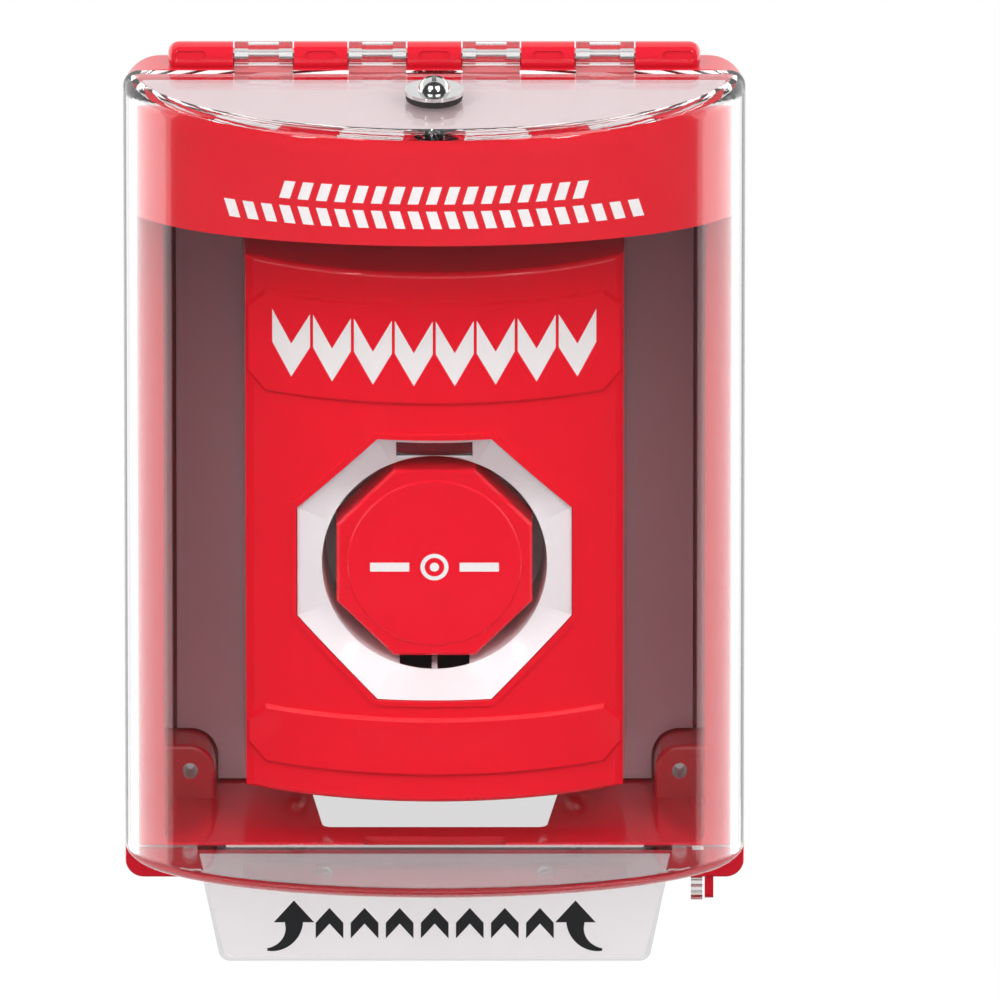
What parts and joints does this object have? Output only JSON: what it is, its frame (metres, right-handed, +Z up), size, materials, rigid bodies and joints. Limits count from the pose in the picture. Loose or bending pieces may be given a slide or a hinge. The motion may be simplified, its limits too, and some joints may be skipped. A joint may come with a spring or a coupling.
{
  "type": "push button station under a clear cover",
  "caption": "Bow-fronted push button in a wall box, under a clear lift-up cover hinged at the top, with a sounder inside the cover.",
  "frame": {"origin": "middle of the four wall screw holes, on the wall face of the box", "axes": "+Y into the wall, +Z up, +X to the right seen from the room"},
  "size_m": [0.134, 0.0873, 0.2058],
  "materials": {
    "red_shell": "gloss moulded",
    "red_station": "gloss moulded",
    "red_base": "moulded",
    "red_button": "gloss moulded",
    "red_film": "printed film",
    "white_film": "printed film",
    "white_bezel": "gloss moulded",
    "clear_shell": "clear moulded",
    "smoked_window": "smoked clear",
    "grey_plate": "moulded",
    "pale_case": "moulded",
    "switch_body": "moulded",
    "battery_skin": "wrapped",
    "circuit_board": "laminate",
    "horn_metal": "plain",
    "steel": "polished",
    "brass": "plain",
    "dark_rubber": "matt",
    "red_seal": "matt"
  },
  "bodies": {
    "housing": {"back_box": "red_shell", "wall_gasket": "dark_rubber", "rim_gasket": "red_seal", "hinge_pin": "steel", "mounting_plate": "grey_plate", "plate_screws": "steel", "station_gasket": "dark_rubber", "station_base": "red_base", "base_screws": "steel", "station_cover": "red_station", "cover_lock_screws": "steel", "bezel": "white_bezel", "indicator_window": "smoked_window", "indicator_board": "circuit_board", "contact_block": "switch_body", "fixed_contacts": "brass", "terminal_screws": "brass", "button_spring": "steel"},
    "plunger": {"push_stem": "switch_body", "moving_contact": "brass"},
    "button": {"button_cap": "red_button"},
    "cover": {"clear_cover": "clear_shell", "cover_label": "red_film", "tab_label": "white_film", "sounder_case": "pale_case", "sounder_lid": "pale_case", "lid_screws": "steel", "horn": "horn_metal", "sounder_board": "circuit_board", "tilt_switch": "horn_metal", "battery": "battery_skin", "battery_snap": "switch_body", "sealing_washer": "dark_rubber", "screw_washer": "steel", "top_screw": "steel"}
  },
  "joints": [
    {"name": "cover_hinge", "type": "hinge", "parent": "housing", "child": "cover", "pos_m": [0, -0.043, 0.0932], "axis": [-1, 0, 0], "range_deg": [0, 105]},
    {"name": "button_push", "type": "slide", "parent": "housing", "child": "plunger", "axis": [0, 1, 0], "range_m": [0, 0.004], "stiffness_N_per_m": 900, "springref_m": -0.006, "deforming": ["button_spring"]},
    {"name": "button_turn", "type": "hinge", "parent": "plunger", "child": "button", "pos_m": [0, -0.05, -0.0175], "axis": [0, 1, 0], "range_deg": [0, 40], "stiffness_Nm_per_rad": 0.05, "springref_deg": -28.65}
  ]
}
